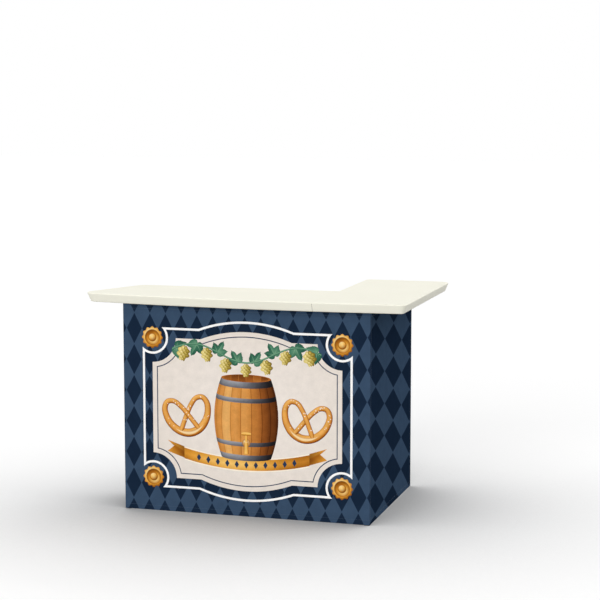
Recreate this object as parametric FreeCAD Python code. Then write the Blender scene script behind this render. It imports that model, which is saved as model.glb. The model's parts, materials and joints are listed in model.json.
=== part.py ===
"""Portable L-shaped bar: moulded counter on a folding tube frame, with bottle shelves and a cloth skirt.

The layout is drawn from the front left corner of the skirted body on the floor, X to the right,
Y to the back and Z up, in millimetres. At the end every piece is moved so that the origin lies
on the floor under the middle of the counter.
"""
import FreeCAD, Part
import math
import os
from FreeCAD import Placement, Rotation, Vector

# Skirted body
body_width = 1185.0
right_depth = 825.0
left_depth = 340.0
return_depth = 190.0
skirt_corner = 12.0
skirt_thickness = 1.5
skirt_hem = 3.0
skirt_headroom = 1.5
skirt_gap = 0.5

# Hook tape between the skirt and the frame
tape_thickness = 2.5
tape_width = 20.0
tape_margin = 2.5

# Counter
counter_height = 1016.0
counter_edge = 43.0
edge_lean = 18.0
top_round = 4.0
bottom_round = 7.0
board_wall = 4.0
front_overhang = 84.0
right_overhang = 174.0
back_overhang = 90.0
wing_width = 426.0
plank_back = 380.0
plank_end_overhang = 48.0
plank_end_slant = 23.3
bow_radius = 6000.0
crown_from_right = 619.0
front_left_round = 60.0
front_right_round = 35.0
wing_back_right_round = 55.0
wing_back_left_round = 30.0
plank_back_left_round = 50.0

# Joint between the two boards
seam_gap = 0.6
seam_block = 85.0
plate_length = 140.0
plate_width = 40.0
plate_thickness = 3.0
plate_centres = (65.0, 130.0)
screw_radius = 2.4
screw_head_radius = 4.5
screw_head_height = 3.0
screw_length = 16.0
screw_inset = 14.0
screw_clearance = 0.1
dowel_radius = 6.0
dowel_length = 60.0
dowel_clearance = 0.1
dowel_centres = (230.0, 315.0)

# Pegs that locate the counter on the frame
peg_radius = 5.0
peg_height = 12.0
peg_clearance = 0.3
peg_boss = 7.0
peg_offsets = (150.0, 720.0, 1010.0, 1110.0)

# Square frame tube, feet and caps
tube_side = 25.0
tube_wall = 1.5
tube_corner = 3.0
foot_height = 8.0
cap_height = 2.0
plug_length = 18.0
plug_clearance = 0.1
bottom_rail_height = 60.0
mid_rail_height = 500.0
rear_inset = 2.0
fold_clearance = 0.4

# Hinges between the fixed returns and the folding sides
low_hinge_height = 190.0
high_hinge_drop = 173.0
hinge_height = 60.0
leaf_thickness = 2.0
leaf_gap = 0.5
leaf_width = 24.0
knuckle_radius = 4.5
knuckle_clearance = 0.3
pin_radius = 2.0
pin_clearance = 0.05
pin_head_radius = 3.2
pin_head_height = 1.5

# Shelves
shelf_heights = (320.0, 640.0)
shelf_thickness = 16.0
shelf_clearance = 1.0
shelf_lip_height = 24.0
shelf_lip_thickness = 8.0
shelf_round = 3.0
bracket_width = 40.0
bracket_thickness = 3.0
bracket_drop = 45.0

# Values that follow from the sizes above
underside = counter_height - counter_edge
side_top = underside - fold_clearance
frame_inset = skirt_thickness + tape_thickness
half_tube = tube_side / 2
tube_inside = tube_side - 2 * tube_wall
left_x = frame_inset + half_tube
right_x = body_width - left_x
front_y = frame_inset + half_tube
return_y = return_depth - half_tube
hinge_gap = 2 * leaf_thickness + leaf_gap
stile_y = return_depth + hinge_gap + half_tube
right_rear_y = right_depth - rear_inset - half_tube
left_rear_y = left_depth - rear_inset - half_tube
hinge_x = right_x - half_tube - knuckle_radius
hinge_y = return_depth + hinge_gap / 2
hinge_heights = (low_hinge_height, underside - high_hinge_drop)
skirt_top = underside - skirt_headroom
right_edge = body_width + right_overhang
seam_x = right_edge - wing_width
wing_back = right_depth + back_overhang
crown_x = right_edge - crown_from_right
mirror_point = Vector(body_width / 2, 0, 0)


def box(x, y, z):
    """Box between the low and high value on each axis."""
    return Part.makeBox(x[1] - x[0], y[1] - y[0], z[1] - z[0], Vector(x[0], y[0], z[0]))


def upright_edges(shape):
    return [edge for edge in shape.Edges
            if len(edge.Vertexes) == 2
            and (edge.Vertexes[0].Point - edge.Vertexes[1].Point).cross(Vector(0, 0, 1)).Length < 1e-6]


def edges_at(shape, height):
    return [edge for edge in shape.Edges
            if abs(edge.BoundBox.ZMin - height) < 1e-4 and abs(edge.BoundBox.ZMax - height) < 1e-4]


def cylinder(radius, base, length, direction=Vector(0, 0, 1)):
    return Part.makeCylinder(radius, length, base, direction)


def mirrored(shape):
    """Copy for the left side of the body."""
    return shape.mirror(mirror_point, Vector(1, 0, 0))


def group(shapes):
    return Part.makeCompound(list(shapes))


# Square tube and what plugs its ends

def rounded_bar(side, radius, length):
    """Square bar up the Z axis with rounded edges."""
    bar = box((-side / 2, side / 2), (-side / 2, side / 2), (0, length))
    return bar.makeFillet(radius, upright_edges(bar))


def tube(start, end):
    """Square tube with its centre line from start to end, along X, Y or Z."""
    run = end - start
    outside = rounded_bar(tube_side, tube_corner, run.Length)
    inside = rounded_bar(tube_inside, tube_corner - tube_wall, run.Length)
    shape = outside.cut(inside)
    shape.Placement = Placement(start, Rotation(Vector(0, 0, 1), run))
    return shape


def post(x, y, top):
    return tube(Vector(x, y, foot_height), Vector(x, y, top - cap_height))


def rail_x(x0, x1, y, top):
    """Rail between two posts whose centres are at x0 and x1."""
    z = top - half_tube
    return tube(Vector(x0 + half_tube, y, z), Vector(x1 - half_tube, y, z))


def rail_y(x, y0, y1, top):
    """Rail between two posts whose centres are at y0 and y1."""
    z = top - half_tube
    return tube(Vector(x, y0 + half_tube, z), Vector(x, y1 - half_tube, z))


def end_plug(flange_height):
    """Moulded plug: a flange as wide as the tube and a shank that fills its bore."""
    flange = rounded_bar(tube_side, tube_corner, flange_height)
    shank_side = tube_inside - 2 * plug_clearance
    shank = rounded_bar(shank_side, tube_corner - tube_wall, plug_length)
    shank.translate(Vector(0, 0, flange_height))
    return flange.fuse(shank).removeSplitter()


def feet(places):
    shapes = []
    for x, y in places:
        foot = end_plug(foot_height)
        foot.translate(Vector(x, y, 0))
        shapes.append(foot)
    return group(shapes)


def caps(places, top):
    shapes = []
    for x, y in places:
        cap = end_plug(cap_height)
        cap.Placement = Placement(Vector(x, y, top), Rotation(Vector(1, 0, 0), 180))
        shapes.append(cap)
    return group(shapes)


# Frame

def front_frame():
    """Fixed frame: front panel with a short return at each end."""
    places = [(x, y) for x in (left_x, right_x) for y in (front_y, return_y)]
    low_top = bottom_rail_height + tube_side
    middle_low = Vector(body_width / 2, front_y, low_top)
    middle_high = Vector(body_width / 2, front_y, underside - tube_side)
    bearers = [rail_y(x, front_y, return_y, height)
               for x in (left_x, right_x) for height in shelf_heights]
    return {
        "front_left_post": post(left_x, front_y, underside),
        "front_right_post": post(right_x, front_y, underside),
        "left_return_post": post(left_x, return_y, underside),
        "right_return_post": post(right_x, return_y, underside),
        "front_middle_post": tube(middle_low, middle_high),
        "front_top_rail": rail_x(left_x, right_x, front_y, underside),
        "front_bottom_rail": rail_x(left_x, right_x, front_y, low_top),
        "left_return_top_rail": rail_y(left_x, front_y, return_y, underside),
        "left_return_bottom_rail": rail_y(left_x, front_y, return_y, low_top),
        "right_return_top_rail": rail_y(right_x, front_y, return_y, underside),
        "right_return_bottom_rail": rail_y(right_x, front_y, return_y, low_top),
        "shelf_bearers": group(bearers),
        "shelf_brackets": group(shelf_bracket(height) for height in shelf_heights),
        "front_feet": feet(places),
        "front_post_caps": caps(places, underside),
    }


def side_frame(side, x, rear_y):
    """Folding side frame that stands behind the return on its side."""
    places = [(x, stile_y), (x, rear_y)]
    return {
        side + "_front_stile": post(x, stile_y, side_top),
        side + "_rear_stile": post(x, rear_y, side_top),
        side + "_top_rail": rail_y(x, stile_y, rear_y, side_top),
        side + "_middle_rail": rail_y(x, stile_y, rear_y, mid_rail_height),
        side + "_bottom_rail": rail_y(x, stile_y, rear_y, bottom_rail_height + tube_side),
        side + "_feet": feet(places),
        side + "_post_caps": caps(places, side_top),
    }


# Hinges

def knuckle(base, low, high, radius):
    return cylinder(radius, base + Vector(0, 0, low), high - low)


def hinge(height):
    """Fixed leaf, moving leaf and pin of one hinge on the right side."""
    base = Vector(hinge_x, hinge_y, height - hinge_height / 2)
    third = hinge_height / 3
    bore = cylinder(pin_radius + pin_clearance, base, hinge_height)
    sweep = knuckle_radius + knuckle_clearance
    across = (hinge_x, hinge_x + knuckle_radius + leaf_width)
    upright = (base.z, base.z + hinge_height)

    fixed = box(across, (return_depth, return_depth + leaf_thickness), upright)
    fixed = fixed.fuse([knuckle(base, 0, third, knuckle_radius),
                        knuckle(base, 2 * third, hinge_height, knuckle_radius)])
    fixed = fixed.cut([knuckle(base, third, 2 * third, sweep), bore]).removeSplitter()

    back = return_depth + hinge_gap
    moving = box(across, (back - leaf_thickness, back), upright)
    low, high = third + knuckle_clearance, 2 * third - knuckle_clearance
    moving = moving.cut([knuckle(base, 0, low, sweep), knuckle(base, high, hinge_height, sweep)])
    moving = moving.fuse(knuckle(base, low, high, knuckle_radius))
    moving = moving.cut(bore).removeSplitter()

    shank = cylinder(pin_radius, base, hinge_height)
    foot = cylinder(pin_head_radius, base - Vector(0, 0, pin_head_height), pin_head_height)
    head = cylinder(pin_head_radius, base + Vector(0, 0, hinge_height), pin_head_height)
    return fixed, moving, shank.fuse([foot, head])


def hinges():
    names = ("hinge_fixed_leaves", "hinge_moving_leaves", "hinge_pins")
    shapes = {}
    for name, solids in zip(names, zip(*[hinge(height) for height in hinge_heights])):
        shapes["right_" + name] = group(solids)
        shapes["left_" + name] = group(mirrored(solid) for solid in solids)
    return shapes


# Shelves

def shelf_bracket(height):
    """Angle bracket on the middle post that carries the shelf at mid span."""
    post_back = front_y + half_tube
    middle = body_width / 2
    across = (middle - bracket_width / 2, middle + bracket_width / 2)
    reach = return_y - half_tube - shelf_clearance - shelf_lip_thickness
    upright = box(across, (post_back, post_back + bracket_thickness), (height - bracket_drop, height))
    flat = box(across, (post_back, reach), (height - bracket_thickness, height))
    return upright.fuse(flat).removeSplitter()


def shelf(height):
    """Moulded bottle shelf between the front posts and the return posts, with a lip at the back."""
    across = (frame_inset + shelf_clearance, body_width - frame_inset - shelf_clearance)
    front = front_y + half_tube + shelf_clearance
    back = return_y - half_tube - shelf_clearance
    lip_top = height + shelf_thickness + shelf_lip_height
    board = box(across, (front, back), (height, height + shelf_thickness))
    lip = box(across, (back - shelf_lip_thickness, back), (height, lip_top))
    shape = board.fuse(lip).removeSplitter()
    long_edges = [edge for edge in edges_at(shape, lip_top) if edge.Length > shelf_lip_thickness * 2]
    return shape.makeFillet(shelf_round, long_edges)


# Counter

def bow_point(x):
    """Point on the bowed front edge."""
    return Vector(x, bow_radius - front_overhang - math.sqrt(bow_radius ** 2 - (x - crown_x) ** 2), 0)


def front_left_point(back_left):
    """Point where the slanted left end meets the bowed front edge."""
    slant = math.radians(plank_end_slant)
    run = Vector(-math.sin(slant), -math.cos(slant), 0)
    from_centre = back_left - Vector(crown_x, bow_radius - front_overhang, 0)
    along = from_centre.dot(run)
    reach = -along + math.sqrt(along ** 2 - from_centre.Length ** 2 + bow_radius ** 2)
    return back_left + run * reach


def counter_plan():
    """Flat face with the plan of both boards together, corners rounded."""
    back_left = Vector(-plank_end_overhang, plank_back, 0)
    front_left = front_left_point(back_left)
    front_right = bow_point(right_edge)
    back_right = Vector(right_edge, wing_back, 0)
    wing_corner = Vector(seam_x, wing_back, 0)
    inner_corner = Vector(seam_x, plank_back, 0)
    bow = Part.Arc(front_left, bow_point(crown_x), front_right).toShape()
    corners = [front_right, back_right, wing_corner, inner_corner, back_left, front_left]
    sides = [Part.makeLine(start, end) for start, end in zip(corners, corners[1:])]
    prism = Part.Face(Part.Wire([bow] + sides)).extrude(Vector(0, 0, counter_edge))
    rounds = ((front_left, front_left_round), (front_right, front_right_round),
              (back_right, wing_back_right_round), (wing_corner, wing_back_left_round),
              (back_left, plank_back_left_round))
    for corner, radius in rounds:
        near = [edge for edge in upright_edges(prism)
                if math.hypot(edge.Vertexes[0].X - corner.x, edge.Vertexes[0].Y - corner.y) < 1e-3]
        prism = prism.makeFillet(radius, near)
    floor = [face for face in prism.Faces if face.BoundBox.ZMax < 1e-6]
    return floor[0]


def leaning_slab(plan, bottom_inset, bottom, top_inset, top):
    """Slab whose edge leans inward, between insets of the plan at two heights."""
    wires = []
    for inset, height in ((bottom_inset, bottom), (top_inset, top)):
        face = plan.makeOffset2D(-inset, 2) if inset else plan.copy()
        face.translate(Vector(0, 0, height))
        wires.append(face.Wires[0])
    return Part.makeLoft(wires, True, True)


def peg_places():
    return [Vector(x, front_y, underside) for x in peg_offsets]


def counter_blank(plan):
    slab = leaning_slab(plan, edge_lean, underside, 0, counter_height)
    slab = slab.makeFillet(top_round, edges_at(slab, counter_height))
    return slab.makeFillet(bottom_round, edges_at(slab, underside))


def counter_hollow(plan):
    """Air inside the moulding, kept away from the seam and from the peg sockets."""
    air = leaning_slab(plan, edge_lean + board_wall, underside + board_wall,
                       board_wall, counter_height - board_wall)
    boss_radius = peg_radius + peg_clearance + peg_boss
    bosses = [cylinder(boss_radius, place, counter_edge) for place in peg_places()]
    bounds = plan.BoundBox
    along = (bounds.YMin - counter_edge, bounds.YMax + counter_edge)
    block = box((seam_x - seam_block, seam_x + seam_block), along, (0, counter_height))
    return air.cut(bosses + [block])


def seam_screw_places():
    reach = plate_length / 2 - screw_inset
    spread = plate_width / 2 - screw_inset / 2
    return [Vector(seam_x + side * offset, centre + step, underside - plate_thickness)
            for centre in plate_centres
            for side in (-1, 1)
            for offset, step in ((reach, spread), (reach / 2, -spread))]


def seam_plates():
    shapes = []
    holes = [cylinder(screw_radius + screw_clearance, place, plate_thickness)
             for place in seam_screw_places()]
    for centre in plate_centres:
        plate = box((seam_x - plate_length / 2, seam_x + plate_length / 2),
                    (centre - plate_width / 2, centre + plate_width / 2),
                    (underside - plate_thickness, underside))
        shapes.append(plate.cut(holes))
    return group(shapes)


def seam_screws():
    shapes = []
    for place in seam_screw_places():
        head = cylinder(screw_head_radius, place - Vector(0, 0, screw_head_height), screw_head_height)
        shapes.append(head.fuse(cylinder(screw_radius, place, screw_length)))
    return group(shapes)


def dowel_rods(radius, length):
    height = underside + counter_edge / 2
    return [cylinder(radius, Vector(seam_x - length / 2, y, height), length, Vector(1, 0, 0))
            for y in dowel_centres]


def counter():
    plan = counter_plan()
    sockets = [cylinder(peg_radius + peg_clearance, place, peg_height + peg_clearance)
               for place in peg_places()]
    screw_holes = [cylinder(screw_radius + screw_clearance, place, screw_length + screw_clearance)
                   for place in seam_screw_places()]
    dowel_bores = dowel_rods(dowel_radius + dowel_clearance, dowel_length + 2 * dowel_clearance)
    solid = counter_blank(plan).cut([counter_hollow(plan)] + sockets + screw_holes + dowel_bores)
    bounds = plan.BoundBox
    along = (bounds.YMin - counter_edge, bounds.YMax + counter_edge)
    upright = (0, 2 * counter_height)
    front_half = box((bounds.XMin - counter_edge, seam_x - seam_gap / 2), along, upright)
    wing_half = box((seam_x + seam_gap / 2, bounds.XMax + counter_edge), along, upright)
    return {
        "front_plank": solid.common(front_half),
        "wing_plank": solid.common(wing_half),
        "seam_plates": seam_plates(),
        "seam_screws": seam_screws(),
        "seam_dowels": group(dowel_rods(dowel_radius, dowel_length)),
        "counter_pegs": group(cylinder(peg_radius, place, peg_height) for place in peg_places()),
    }


# Skirt and the tape that holds it

def front_skirt():
    """Cloth across the front and round both returns."""
    end = hinge_y - skirt_gap / 2

    def wrap(inset, radius):
        shape = box((inset, body_width - inset), (inset, end), (skirt_hem, skirt_top))
        front = [edge for edge in upright_edges(shape) if edge.Vertexes[0].Y < inset + 1e-6]
        return shape.makeFillet(radius, front)

    return wrap(0, skirt_corner).cut(wrap(skirt_thickness, skirt_corner - skirt_thickness))


def side_skirt(depth):
    """Flat cloth on the right side frame or, mirrored, on the left."""
    layer = (body_width - skirt_thickness, body_width)
    return box(layer, (hinge_y + skirt_gap / 2, depth), (skirt_hem, skirt_top))


def tape_heights(top):
    return (top - tape_margin - tape_width, top - tape_margin)


def front_tape():
    upright = tape_heights(underside)
    layer = (skirt_thickness, frame_inset)
    across = box((left_x, right_x), layer, upright)
    left_return = box(layer, (front_y, return_y), upright)
    return group([across, left_return, mirrored(left_return)])


def side_tape(rear_y):
    """Tape along the top rail and down the rear stile of the right side frame."""
    layer = (body_width - frame_inset, body_width - skirt_thickness)
    upright = tape_heights(side_top)
    along = box(layer, (stile_y, rear_y), upright)
    down = box(layer, (rear_y - tape_width / 2 + tube_corner, rear_y + tape_width / 2 - tube_corner),
               (bottom_rail_height, upright[0]))
    return group([along, down])


def skirt():
    return {
        "skirt_front": front_skirt(),
        "skirt_right": side_skirt(right_depth),
        "skirt_left": mirrored(side_skirt(left_depth)),
        "front_hook_tape": front_tape(),
        "right_hook_tape": side_tape(right_rear_y),
        "left_hook_tape": mirrored(side_tape(left_rear_y)),
    }


def pieces():
    shapes = {}
    shapes.update(front_frame())
    shapes.update(side_frame("right", right_x, right_rear_y))
    shapes.update(side_frame("left", left_x, left_rear_y))
    shapes.update(hinges())
    shapes["lower_shelf"] = shelf(shelf_heights[0])
    shapes["upper_shelf"] = shelf(shelf_heights[1])
    shapes.update(counter())
    shapes.update(skirt())
    return shapes


def origin():
    """Point on the floor under the middle of the counter."""
    bounds = counter_plan().optimalBoundingBox(False, False)
    return Vector((bounds.XMin + bounds.XMax) / 2, (bounds.YMin + bounds.YMax) / 2, 0)


os.makedirs("parts", exist_ok=True)
shift = origin() * -1
for name, shape in pieces().items():
    shape.translate(shift)
    shape.exportStep("parts/" + name + ".step")
print("Origin in the layout: X %.2f, Y %.2f" % (-shift.x, -shift.y))
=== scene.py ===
"""Looks of a portable bar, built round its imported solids: camera, light, finishes, sewn cloth and its print.

Lengths are metres in the frame of the solids and angles are degrees, unless a comment says otherwise.
The print on the front is drawn flat, in millimetres from its own middle, and then laid on the cloth.
"""
import json
import random
from math import acos, atan2, copysign, cos, exp, pi, radians, sin, sqrt

import bpy
from mathutils import Matrix, Vector
from mathutils.geometry import delaunay_2d_cdt


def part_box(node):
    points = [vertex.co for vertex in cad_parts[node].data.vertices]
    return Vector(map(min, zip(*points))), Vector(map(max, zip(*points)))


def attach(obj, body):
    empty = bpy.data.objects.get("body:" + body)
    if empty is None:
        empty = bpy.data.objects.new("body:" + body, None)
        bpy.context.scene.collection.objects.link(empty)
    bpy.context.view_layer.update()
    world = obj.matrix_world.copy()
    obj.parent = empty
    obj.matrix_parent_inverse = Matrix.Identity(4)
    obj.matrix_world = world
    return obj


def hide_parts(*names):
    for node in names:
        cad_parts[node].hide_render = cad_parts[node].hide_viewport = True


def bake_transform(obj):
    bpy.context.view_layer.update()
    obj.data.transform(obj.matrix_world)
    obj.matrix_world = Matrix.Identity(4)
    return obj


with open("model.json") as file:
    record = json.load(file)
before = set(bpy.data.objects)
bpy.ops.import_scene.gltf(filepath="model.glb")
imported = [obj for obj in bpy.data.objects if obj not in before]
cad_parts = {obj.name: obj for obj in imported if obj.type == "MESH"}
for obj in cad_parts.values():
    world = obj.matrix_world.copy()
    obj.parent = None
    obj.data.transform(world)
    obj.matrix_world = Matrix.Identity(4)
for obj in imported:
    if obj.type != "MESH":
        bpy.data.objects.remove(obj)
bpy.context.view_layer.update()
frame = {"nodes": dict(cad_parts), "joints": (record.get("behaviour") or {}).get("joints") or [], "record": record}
nodes = frame["nodes"]
joints = {joint["name"]: joint for joint in frame["joints"]}
MM = 0.001

# Camera, found from the straight edges of the body and the counter; its lens is in millimetres
camera_place = (2.4355, -7.7467, 1.9471)
camera_yaw = 16.4405
camera_pitch = 6.95
camera_roll = -0.0172
camera_lens = 102.935

# Light and floor; each lamp has the way it comes from, its strength and its softness
sky_level = 0.6
lamps = {"front": ((-0.12, -0.97, 0.2), 1.85, 40.0), "back": ((0.62, 0.35, 0.7), 1.0, 70.0)}
floor_size = 80.0
camera_sight = 4 * floor_size
floor_seen = 0.98
floor_bounce = 0.38
floor_glow = 0.09

# Painted shade in the floor's colour near the body, where the body closes off the open air: its reach, its darkest
# tone, and the open share that gives it
contact_reach = 1.6
contact_shade = 0.4
contact_open = 0.5

# Skirt cloth, set out from the solids that it stands for
front_low, front_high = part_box("skirt_front")
hem_z, top_z = front_low.z, front_high.z
middle_x = (front_low.x + front_high.x) / 2
half_width = (front_high.x - front_low.x) / 2
front_y = front_low.y
cloth_inset = 0.5 * MM
cloth_thickness = 0.9 * MM
corner_radius = 5 * MM
seam_run = 6 * MM
seam_gap = 0.15 * MM
outer_radius = corner_radius - cloth_inset
half_front = half_width - corner_radius
arc_run = outer_radius * pi / 2
half_run = half_front + arc_run + seam_run
bend_reach = 24 * MM
ripple_depth = 0.35 * MM
ripple_length = 0.31
hem_height = 25 * MM
hem_thickness = 0.45 * MM

# Mesh of the cloth
corner_steps = 8
strip_pitch = 30 * MM
bend_pitch = 3 * MM
row_pitch = 60 * MM
cloth_crease = 60.0

# Lozenges of the cloth: places from the left end of the front, and up from the floor
lozenge_width = 76.65 * MM
lozenge_height = 145.7 * MM
first_lozenge = 58.5 * MM
first_row = 128.5 * MM
lozenge_share = 0.487
lozenge_blur = 0.008
column_spread = 0.0133
side_lozenge_width = 344 * MM
row_fan_height = 1.973
row_fan_rate = 0.1395

# Stitches; each has stations along it, with a share of its half length, width and height
stitch_pitch = 4.5 * MM
stitch_half_length = 1.6 * MM
stitch_half_width = 0.45 * MM
stitch_height = 0.35 * MM
stitch_stations = ((-1.0, 0.35, 0.3), (-0.6, 1.0, 1.0), (0.6, 1.0, 1.0), (1.0, 0.35, 0.3))

# Rows of stitches: distances from the edges of the cloth, and heights of the level ones
stitch_from_edge = 5 * MM
hem_margin = 3 * MM
tape_margins = (5 * MM, 21 * MM)
seam_margin = 2.5 * MM
rear_margins = (4 * MM, 20 * MM)
level_rows = (hem_z + hem_height - hem_margin, *(top_z - margin for margin in tape_margins))

# Counter, and the dirt in its seam: half widths from the seam, and depths below the top
counter_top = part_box("wing_plank")[1].z
counter_seam = (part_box("front_plank")[1].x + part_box("wing_plank")[0].x) / 2
dirt_core = 0.56 * MM
dirt_edge = 0.84 * MM
dirt_full = 7 * MM
dirt_end = 4 * MM

# Threads of the cloth and their thick places, to the metre, and the usual range of noise
thread_count = 1250.0
slub_count = 90.0
noise_range = (0.3, 0.7)

# Weld beads of the tube frame
bead_radius = 2.2 * MM
bead_steps = 14
bead_spokes = 6
bead_ripple = 0.14
ripple_steps = 3
bead_blunt = 6
bead_least = 0.2
bead_margin = 0.12
bead_crease = 50.0

# Print on the front: its place on the cloth, its scale and seed, and the mesh that carries it
print_run = 7.5 * MM
print_z = 0.49
print_scale = 1.15
print_seed = 7
front_pitch = 45.0
merge_reach = 1e-4
least_area = 0.01

# Light of the picture, and a round strand: the stations across it and its shares of tone
light_from = Vector((-0.5, 0.86))
strand_profile = (-1.0, -0.86, -0.6, -0.25, 0.15, 0.5, 0.8, 1.0)
strand_edge = 0.08
strand_round = 0.62
strand_lit = 0.3

# Label, and the margins of its two lines, outward from its edge
label_half_width = 395.0
label_half_height = 285.0
label_notch = 100.0
label_swell_half = 190.0
label_swell = 36.0
swell_steps = 12
notch_steps = 16
white_line = (33.0, 42.0)
blue_line = (-18.0, -22.0)

# Cask, with its hoops as shares of its height, and its light in tones and radians
cask_foot = -182.0
cask_height = 318.0
cask_waist = 134.0
cask_end = 104.0
cask_tilt = 0.15
cask_rows = 12
cask_hoops = ((0.0, 0.075), (0.19, 0.245), (0.745, 0.8), (0.925, 1.0))
cask_shade = 0.14
cask_shine = 0.72
cask_turn = 0.6
cask_fade = 0.9
hoop_shine = 0.9
hoop_edge_shine = 0.25
hoop_shade = 0.1

# Staves of the cask and boards of its head, with their gaps and changes of tone
cask_staves = 9
stave_gap = 0.018
stave_gap_shade = 0.3
stave_crown = 0.04
stave_change = 0.1
head_boards = 6
head_share = 0.9
head_points = 48
board_gap = 0.02
board_steps = 6
board_tones = (0.3, 0.55)
board_lifts = (0.08, -0.12)

# Brass tap above the foot of the cask, with its strands as points from its middle and half widths
tap_height = 58.0
tap_flange = 17.0
tap_glint = 5.0
flange_points = 24
tap_steps = 4
tap_strands = {"spout": (((0, 2), (0, -22), (0, -44)), (8, 8, 8, 8, 8.5, 9, 9.5, 10, 10)),
               "stem": (((0, 4), (0, 34)), (5, 5, 5, 5, 5)),
               "handle": (((-20, 36), (0, 37), (20, 36)), (4, 6, 7, 7, 7, 7, 7, 6, 4))}

# Pretzels, with half of their line and their widths as shares of their size
pretzel_x = 249.0
pretzel_z = -18.0
pretzel_size = 94.0
pretzel_turn = 10.0
pretzel_half = ((-0.42, -0.72), (-0.19, -0.32), (0.0, 0.0), (0.22, 0.33), (0.5, 0.6),
                (0.82, 0.6), (0.98, 0.26), (0.86, -0.26), (0.5, -0.68))
pretzel_belly = (0.0, -0.84)
pretzel_steps = 9
pretzel_thin = 0.105
pretzel_swell = 0.075
swell_reach = 0.16
pretzel_round = 4
pretzel_tip = 0.2
arm_points = 3
arm_tuck = 4
split_half = 12
split_share = 0.42
salt_grains = 34
salt_corners = 6
salt_from_end = 6
salt_from_split = 14
salt_spread = 0.6
salt_reach = (1.6, 2.8)

# Hop leaf, with half of its outline and its veins as angle and share of its length, and its tones
leaf_half = ((0, 1.0), (9, 0.86), (14, 0.8), (20, 0.66), (27, 0.52), (36, 0.62), (44, 0.7), (54, 0.84),
             (62, 0.72), (72, 0.62), (84, 0.58), (100, 0.5), (122, 0.42), (150, 0.3), (180, 0.1))
leaf_bite = 0.95
leaf_veins = ((0, 0.94), (54, 0.74), (-54, 0.74), (100, 0.4), (-100, 0.4))
vein_half = 0.018
leaf_lifts = {1: -0.12, -1: 0.1}
leaf_tones = (0.62, 0.3)
vein_tones = (0.9, 0.6)

# Hop cone and its scales, as shares of its length and of its half width, and its tones
hop_levels = 6
hop_half = 0.36
hop_first = 0.2
hop_span = 0.68
hop_blunt = 0.8
hop_rows = ((2, 0.8), (3, 0.72))
hop_root = 0.8
hop_top = 0.02
hop_fall = 0.66
scale_length = 0.32
scale_half = 0.55
scale_core = 0.45
scale_outline = ((0, 0), (-0.8, 0.25), (-1, 0.5), (-0.7, 0.78), (0, 1),
                 (0.7, 0.78), (1, 0.5), (0.8, 0.25), (0, 0))
hop_tone = 0.62
hop_lit = 0.5
hop_lifts = (0.2, -0.32)

# Vine, with its leaves as x, turn and length, and its hops as x, drop, turn and length
vine_z = 232.0
vine_sway = 34.0
vine_wave = 440.0
vine_half = 310
vine_pitch = 31
vine_steps = 4
vine_radius = 3.4
vine_leaves = ((-292, 62, 58), (-205, -28, 56), (-118, 150, 52), (-36, -150, 50))
vine_hops = ((-255, 3, -14, 66), (-168, 3, 8, 60), (-80, 3, -10, 62), (0, 2, 0, 56))

# Ribbon, its tones, its row of lozenges, and its notched tails as rows of points from its end
ribbon_half = 262.0
ribbon_z = -214.0
ribbon_height = 54.0
ribbon_rise = 34.0
ribbon_trim = 5.0
ribbon_steps = 24
ribbon_tone = 0.42
ribbon_sway = 0.2
ribbon_wave = 2.6
ribbon_start = 0.5
ribbon_lifts = (-0.06, 0.12, 0.0)
ribbon_lozenges = 5
ribbon_pitch = 40.0
ribbon_lozenge = (9.0, 15.0)
tail_rows = (((-20, -26), (72, 4)), ((-20, -2.78), (44, 26.68)), ((-20, 20.44), (72, 50.44)))

# Button, with rings from rim to middle: share of the radius, scallop, tone, and gain to the light
button_rings = ((1.0, 0.07, 0.3, 0.26), (0.8, 0.0, 0.62, 0.24), (0.72, 0.0, 0.16, -0.14),
                (0.44, 0.0, 0.5, -0.3), (0.37, 0.0, 0.16, 0.1), (0.3, 0.0, 0.5, 0.36), (0.0, 0.0, 0.8, 0.0))
button_radius = 42.0
button_lobes = 12
button_points = 72


# Colours and even steps

def linear(red, green, blue):
    """Scene colour of a screen colour given from 0 to 255."""
    levels = [value / 255 for value in (red, green, blue)]
    return tuple(s / 12.92 if s <= 0.04045 else ((s + 0.055) / 1.055) ** 2.4 for s in levels)


def palette(*colours):
    """Run of scene colours."""
    return [linear(*colour) for colour in colours]


def solid(colour):
    """Socket value of a screen colour."""
    return (*linear(*colour), 1.0)


def shares(count):
    """Even shares from 0 to 1."""
    return [step / count for step in range(count + 1)]


def steps(start, end, pitch):
    """Even steps from start to end, about a pitch long."""
    count = max(1, round(abs(end - start) / pitch))
    return [start + (end - start) * step / count for step in range(count + 1)]


# Inks of the print
white = linear(252, 251, 250)
navy = linear(45, 62, 88)
label_middle = linear(240, 231, 223)
label_edge = linear(232, 222, 212)
salt_edge = linear(236, 226, 210)
ribbon_edge = linear(250, 240, 220)
split_tones = palette((214, 150, 78), (250, 226, 178), (238, 196, 130))
crust = palette((74, 34, 12), (140, 70, 22), (206, 128, 46), (236, 176, 92), (250, 214, 146))
oak = palette((58, 28, 12), (116, 62, 26), (168, 98, 42), (212, 142, 68), (240, 186, 112))
iron = palette((26, 24, 26), (58, 56, 60), (104, 104, 110), (188, 190, 196))
gold = palette((110, 58, 16), (176, 106, 30), (226, 158, 58), (246, 200, 112), (253, 231, 176))
leaf_green = palette((22, 62, 50), (48, 104, 82), (98, 150, 118), (160, 196, 160))
tail_tones = ((gold[0], gold[2]), (gold[0], gold[1]), (gold[0], gold[2]))
hop_gold = palette((112, 92, 30), (176, 150, 56), (218, 196, 104), (244, 230, 168))


# Materials

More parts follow.
